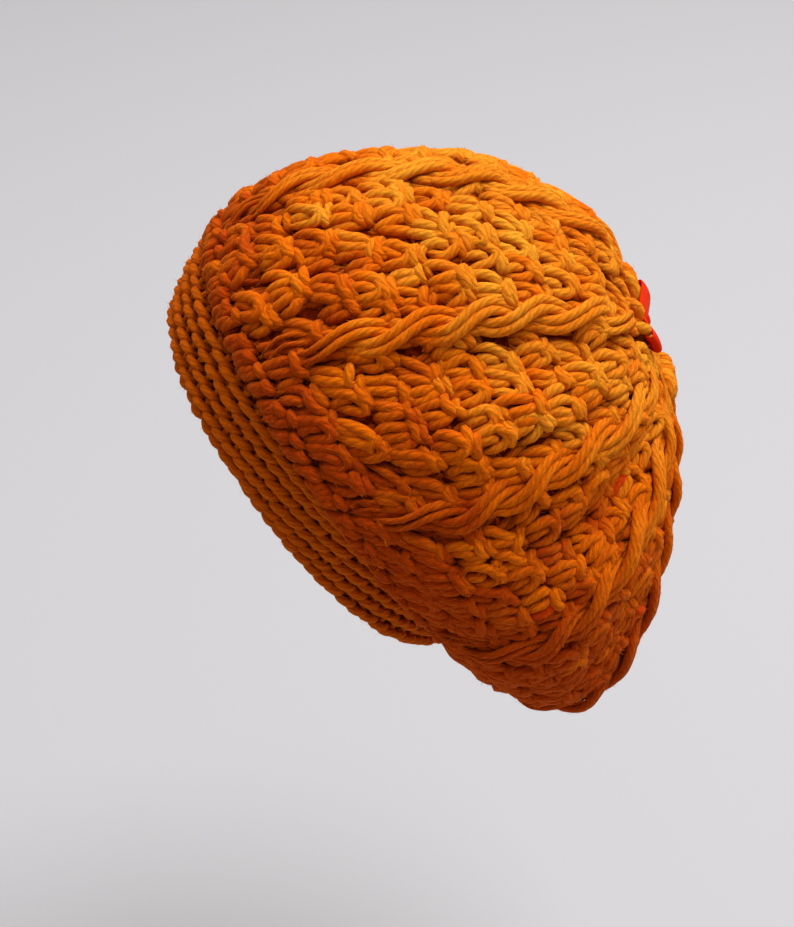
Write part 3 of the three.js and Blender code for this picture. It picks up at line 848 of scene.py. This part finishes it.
def makeCable(index):
    piece = YarnPiece("body")
    column = hatSizes["firstCable"] + index / hatSizes["cables"]
    share = np.linspace(cable["start"], cable["end"], cable["steps"])
    level, here = np.zeros(cable["steps"]), np.full(cable["steps"], column)
    spine = onBody(share, here, level)
    travelled = np.concatenate([[0], np.cumsum(np.linalg.norm(np.diff(spine, axis=0), axis=1))])
    half = 0.5 / hatSizes["cables"]
    pitch = np.linalg.norm(onBody(share, here + half, level) - onBody(share, here - half, level), axis=1)
    progress = (share - cable["start"]) / (cable["end"] - cable["start"])
    ends = np.minimum(1, np.minimum(0.75 + 6 * progress, 0.3 + 4 * (1 - progress)))
    dive = cable["dive"] * np.clip(1 - 14 * progress, 0, 1)
    wide = np.minimum(cable["width"], 0.8 * pitch) * ends
    thick = cable["yarnRadius"] * np.minimum(1, wide / cable["width"] * 1.2)
    phase = np.pi * travelled / cable["crossing"] + random.random() * 0.6 + 0.4 * index
    phase = phase + 0.25 * np.sin(travelled / (19 * mm) + index)
    for bundle in (0, np.pi):
        for strand in (-1, 1):
            swing = np.cos(phase + bundle)
            offset = swing * (wide / 2 - thick * 1.95) + strand * thick * 0.86
            lift = cable["middle"] + np.sin(phase + bundle) * cable["rise"] * ends
            lift = lift - cable["endDip"] * (1 - ends) - dive
            line = onBody(share, column + offset / pitch / hatSizes["cables"], lift)
            line = line + random.normal(0, 0.1 * mm, line.shape)
            piece.add(evenly(line, 130), thick.mean(), tintOf() * 0.5, plump=0.0)
    # short strands under the eyes of the twist
    for at in np.arange(0.03, 0.97, 0.045):
        for aside in (-0.24, 0.0, 0.24):
            u = np.linspace(0, 1, 6)
            middle = cable["start"] + (at + random.normal(0, 0.008)) * (cable["end"] - cable["start"])
            width = np.interp(middle, share, wide) / np.interp(middle, share, pitch) / hatSizes["cables"]
            line = onBody(middle + (u - 0.5) * 0.055, column + (aside + 0.14 * (u - 0.5)) * width,
                          cable["underArch"] * np.sin(np.pi * u) - cable["underDepth"])
            # painted shade: the strands under the eyes are darker
            piece.add(evenly(line, 7), cable["underRadius"], tintOf(0.08), sides=7, plump=0.25)
    piece.build(f"cable_rope_{index + 1}", bodyWool, f"cable_{index + 1}")


for index in range(hatSizes["cables"]):
    makeCable(index)
print("cables ready")


# bow: two loops of satin ribbon and a knot, sewn on the gathers

bow = {
    "width": 9.5 * mm,         # of the ribbon
    "thickness": 0.9 * mm,
    "reach": 25 * mm,          # from the knot's middle to the end of a loop
    "height": 6.5 * mm,
    "knotLength": 6 * mm,
    "lean": 2,                 # degrees
    "seat": -0.4 * mm,         # off the crown's middle
    "flare": 2.2 * mm,         # how far the ends of the loops stand off the crown
    "rise": 7 * mm,            # above the crown's middle
}


def satinMaterial():
    material, tree, shader = newMaterial("polyester satin ribbon, red-orange")
    uv = addNode(tree, "ShaderNodeUVMap", uv_map="UVMap")
    weave = addNode(tree, "ShaderNodeTexWave", {0: uv.outputs[0]}, bands_direction="Y",
                    in1=2 * math.pi * 60, in2=0.4)
    place = addNode(tree, "ShaderNodeTexCoord")
    noise = addNode(tree, "ShaderNodeTexNoise", {0: place.outputs["Object"]}, in2=1 / (6 * mm), in3=2.0)
    colour = addNode(tree, "ShaderNodeMix", {0: noise.outputs[0]}, data_type="RGBA", in6=srgb("#BC1600"),
                     in7=srgb("#E63800"))
    tree.links.new(colour.outputs[2], shader.inputs["Base Color"])
    bump = addNode(tree, "ShaderNodeBump", {"Height": weave.outputs["Fac"]})
    bump.inputs["Strength"].default_value = 0.25
    bump.inputs["Distance"].default_value = 0.05 * mm
    tree.links.new(bump.outputs[0], shader.inputs["Normal"])
    shader.inputs["Roughness"].default_value = 0.6
    shader.inputs["Specular IOR Level"].default_value = 0.05
    return material


satin = satinMaterial()


def makeRibbon(name, path, node, place, width):  # a strip of ribbon bent along a path
    steps, across = len(path), 7
    points, uvs = [], []
    for k, (x, y) in enumerate(path):
        for j in range(across):
            z = (j / (across - 1) - 0.5) * width * (1 - 0.35 * (k in (0, steps - 1)))
            cup = 0.7 * mm * (2 * z / width) ** 2
            points.append(place @ Vector((x, y - cup, z)))
            uvs.append((k / steps, j / (across - 1)))
    faces = [(k * across + j, k * across + j + 1, (k + 1) * across + j + 1, (k + 1) * across + j)
             for k in range(steps - 1) for j in range(across - 1)]
    mesh = bpy.data.meshes.new(name)
    mesh.from_pydata(points, [], faces)
    uvMap = mesh.uv_layers.new(name="UVMap")
    for loop in mesh.loops:
        uvMap.data[loop.index].uv = uvs[loop.vertex_index]
    mesh.materials.append(satin)
    piece = bpy.data.objects.new(name, mesh)
    bpy.context.collection.objects.link(piece)
    bpy.ops.object.select_all(action="DESELECT")
    piece.select_set(True)
    bpy.context.view_layer.objects.active = piece
    thick = piece.modifiers.new("thickness", "SOLIDIFY")
    thick.thickness = bow["thickness"]
    bpy.ops.object.modifier_apply(modifier="thickness")
    edges = piece.modifiers.new("soft edges", "SUBSURF")
    edges.levels = 1
    bpy.ops.object.modifier_apply(modifier="soft edges")
    bpy.ops.object.shade_smooth()
    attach(piece, "root")
    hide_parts(node)


def makeBow():
    end = np.array([float(len(sections) - 1)])
    top, low = Vector(ovalPoint(end, np.array([0.0]))[0]), Vector(ovalPoint(end, np.array([math.pi]))[0])
    down = (low - top).normalized()
    left = Vector((1, 0, 0))
    out = left.cross(down)
    basis = Matrix((left, out, left.cross(out))).transposed().to_4x4()
    seat = top.lerp(low, 0.5) - down * bow["rise"] + out * bow["seat"]
    place = Matrix.Translation(seat) @ basis @ Matrix.Rotation(math.radians(bow["lean"]), 4, "Y")
    t = np.linspace(0, 1, 22)
    start = bow["knotLength"] / 2
    x = start + (bow["reach"] - start) * np.sin(np.pi * t) ** 0.85
    rise = (0.5 - 0.5 * np.cos(np.pi * t)) * (0.3 + 0.7 * np.sin(np.pi * t * 0.93 + 0.1))
    y = bow["height"] * rise + bow["flare"] * (x / bow["reach"]) ** 2
    loop = np.stack([x, y], -1)
    makeRibbon("bow_left", loop, "bow_loop_left", place, bow["width"])
    makeRibbon("bow_right", loop, "bow_loop_right", place @ Matrix.Rotation(math.pi, 4, "Y"), bow["width"])
    angle = np.linspace(-0.5 * np.pi, 1.5 * np.pi, 19)
    wrap = np.stack([bow["knotLength"] / 2 * np.cos(angle) * 0.9, 2.1 * mm + 2.0 * mm * np.sin(angle)], -1)
    makeRibbon("bow_middle", wrap, "bow_knot", place, 0.72 * bow["width"])


makeBow()
print("bow ready")


# fuzz: loose fibres that stand off the yarn and soften its outline

fuzz = {
    "length": 2.1 * mm,
    "width": 0.16 * mm,
    "lift": 0.55,              # how much a fibre stands off, against lying along the yarn
    "oneIn": 2,                # of the places where a fibre can start, one in this many has one
    "stray": 0.45,             # how crooked the fibres lie
    "tipWidth": 0.25,          # share of the width left at the tip
    "hatMiddle": np.array([0, 35, -125]) * mm,
}


def fuzzMaterial():
    material, tree, shader = newMaterial("loose wool fibres, orange")
    place = addNode(tree, "ShaderNodeTexCoord")
    noise = addNode(tree, "ShaderNodeTexNoise", {0: place.outputs["Object"]}, in2=1 / (20 * mm), in3=2.0)
    ramp = addNode(tree, "ShaderNodeValToRGB", {0: noise.outputs[0]})
    ramp.color_ramp.elements[0].position, ramp.color_ramp.elements[0].color = 0.3, srgb("#E06400")
    ramp.color_ramp.elements[1].position, ramp.color_ramp.elements[1].color = 0.7, srgb("#FF9818")
    tree.links.new(ramp.outputs[0], shader.inputs["Base Color"])
    shader.inputs["Roughness"].default_value = 0.8
    shader.inputs["Specular IOR Level"].default_value = 0.2
    return material


def makeFuzz(region, node, material):
    seeds = fuzzSeeds[region][::fuzz["oneIn"]]
    root = np.array([s[0] for s in seeds])
    spoke = np.array([s[1] for s in seeds])
    tangent = np.array([s[2] for s in seeds])
    outward = unit(root - fuzz["hatMiddle"])
    keep = (spoke * outward).sum(1) > -0.1
    root, spoke, tangent = root[keep], spoke[keep], tangent[keep]
    n = len(root)
    stray = random.normal(0, 1, (n, 3))
    way = unit(tangent * random.choice([-1, 1], (n, 1)) + spoke * fuzz["lift"] + stray * fuzz["stray"])
    length = fuzz["length"] * random.uniform(0.4, 1.5, (n, 1))
    broad = unit(np.cross(way, unit(stray + spoke * 0.3))) * fuzz["width"] / 2
    foot, tip = root - spoke * 0.1 * mm, root + way * length
    narrow = broad * fuzz["tipWidth"]
    corners = (foot - broad, foot + broad, tip + narrow, tip - narrow)
    points = np.stack(corners, 1).reshape(-1, 3)
    faces = np.arange(4 * n).reshape(-1, 4)
    piece = meshFrom(f"fuzz_{region}", points, faces, material)
    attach(piece, "root")
    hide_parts(node)
    print(piece.name, 2 * len(faces), "triangles")


fibres = fuzzMaterial()
makeFuzz("body", "slouch_body", fibres)
makeFuzz("brim", "brim_band", fibres)


# camera, floor and light

view = {
    "target": Vector((0, 24, -145)) * mm,
    "distance": 1000 * mm,
    "elevation": 33,           # degrees above the horizon
    "azimuth": 90,             # the side that faces +X
    "focalPixels": 2100,       # focal length in pixels of a 794 x 927 frame
    "frameWidth": 794,
    "floorDrop": 280 * mm,     # below the lowest fabric
}


def makeCamera():
    a, e = math.radians(view["azimuth"]), math.radians(view["elevation"])
    back = Vector((math.sin(a) * math.cos(e), -math.cos(a) * math.cos(e), math.sin(e)))
    bpy.ops.object.camera_add(location=view["target"] + back * view["distance"])
    camera = bpy.context.object
    camera.rotation_euler = back.to_track_quat("Z", "Y").to_euler()
    camera.data.sensor_fit = "HORIZONTAL"
    camera.data.sensor_width = 36
    camera.data.lens = 36 * view["focalPixels"] / view["frameWidth"]
    camera.data.clip_end = 20
    bpy.context.scene.camera = camera


def makeStage():
    bpy.ops.mesh.primitive_plane_add(size=12, location=(0, 0, cadBox[0].z - view["floorDrop"]))
    floor = bpy.context.object
    floor.name = "pale_floor"
    material, tree, shader = newMaterial("pale paper backdrop")
    shader.inputs["Base Color"].default_value = srgb("#BABABB")
    shader.inputs["Roughness"].default_value = 0.9
    floor.data.materials.append(material)


def addLight(name, place, size, power, colour):
    bpy.ops.object.light_add(type="AREA", location=place)
    light = bpy.context.object
    light.name = name
    light.data.size = size
    light.data.energy = power
    light.data.color = srgb(colour)[:3]
    light.rotation_euler = (light.location - view["target"]).to_track_quat("Z", "Y").to_euler()


makeCamera()
makeStage()
addLight("window_light", (-0.5, 1.2, 3.05), 2.8, 184, "#FBFCFF")
addLight("left_fill", (-0.6, -1.6, 2.0), 0.9, 12, "#F6F8FF")
world = bpy.data.worlds.new("soft room light")
world.use_nodes = True
world.node_tree.nodes["Background"].inputs[0].default_value = srgb("#FFF0EA")
world.node_tree.nodes["Background"].inputs[1].default_value = 0.3
bpy.context.scene.world = world
bpy.context.scene.view_settings.view_transform = "Standard"
